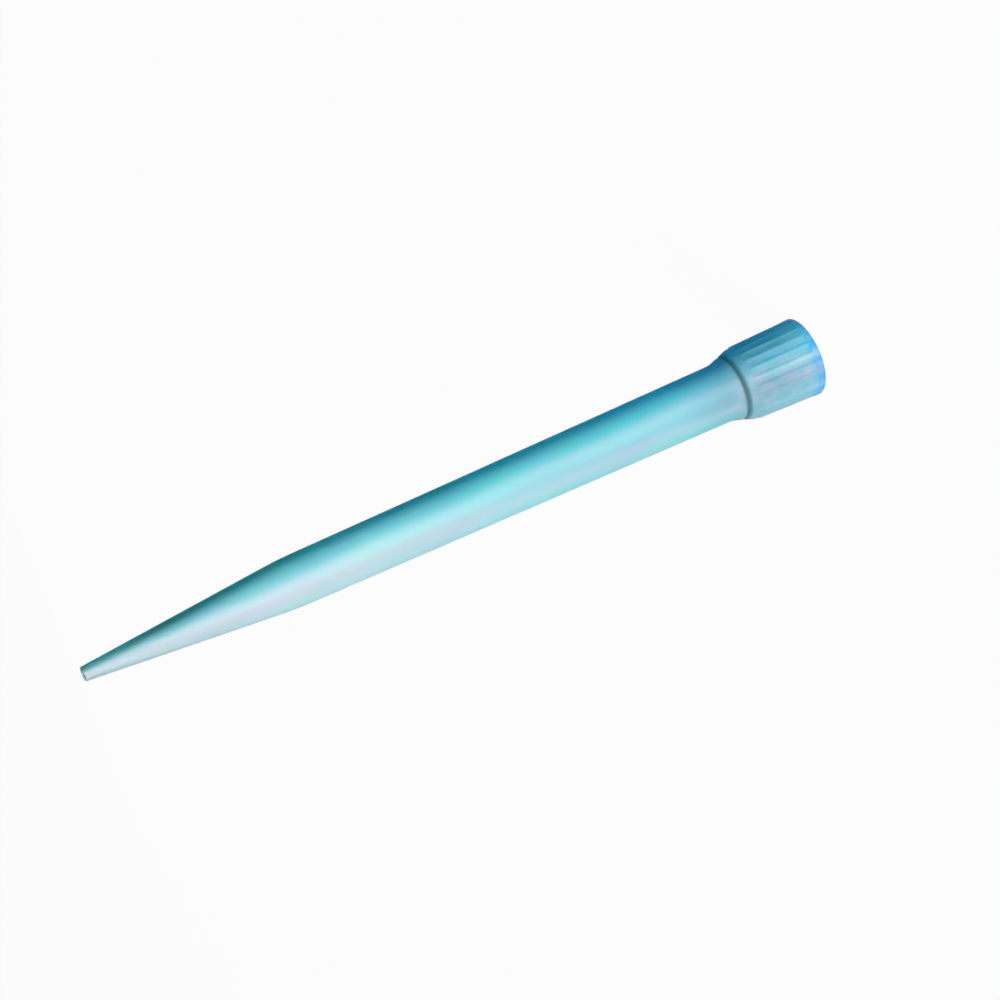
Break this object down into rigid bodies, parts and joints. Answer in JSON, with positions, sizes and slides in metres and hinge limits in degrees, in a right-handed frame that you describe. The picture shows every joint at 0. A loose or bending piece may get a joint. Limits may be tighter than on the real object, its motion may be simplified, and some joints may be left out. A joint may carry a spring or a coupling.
{
  "type": "pipette tip",
  "caption": "Tall 5 ml pipette tip in thin translucent plastic: ribbed collar with an open socket, long straight barrel, and a cone that ends in a fine orifice.",
  "frame": {"origin": "centre of the mouth's rim, in the plane that the tip stands on", "axes": "+Z along the tip's axis, from the mouth to the nozzle"},
  "size_m": [0.0156, 0.0156, 0.153],
  "materials": {
    "moulding": "translucent natural polypropylene, as moulded, soft sheen"
  },
  "bodies": {
    "root": {"tip": "moulding"}
  },
  "joints": []
}
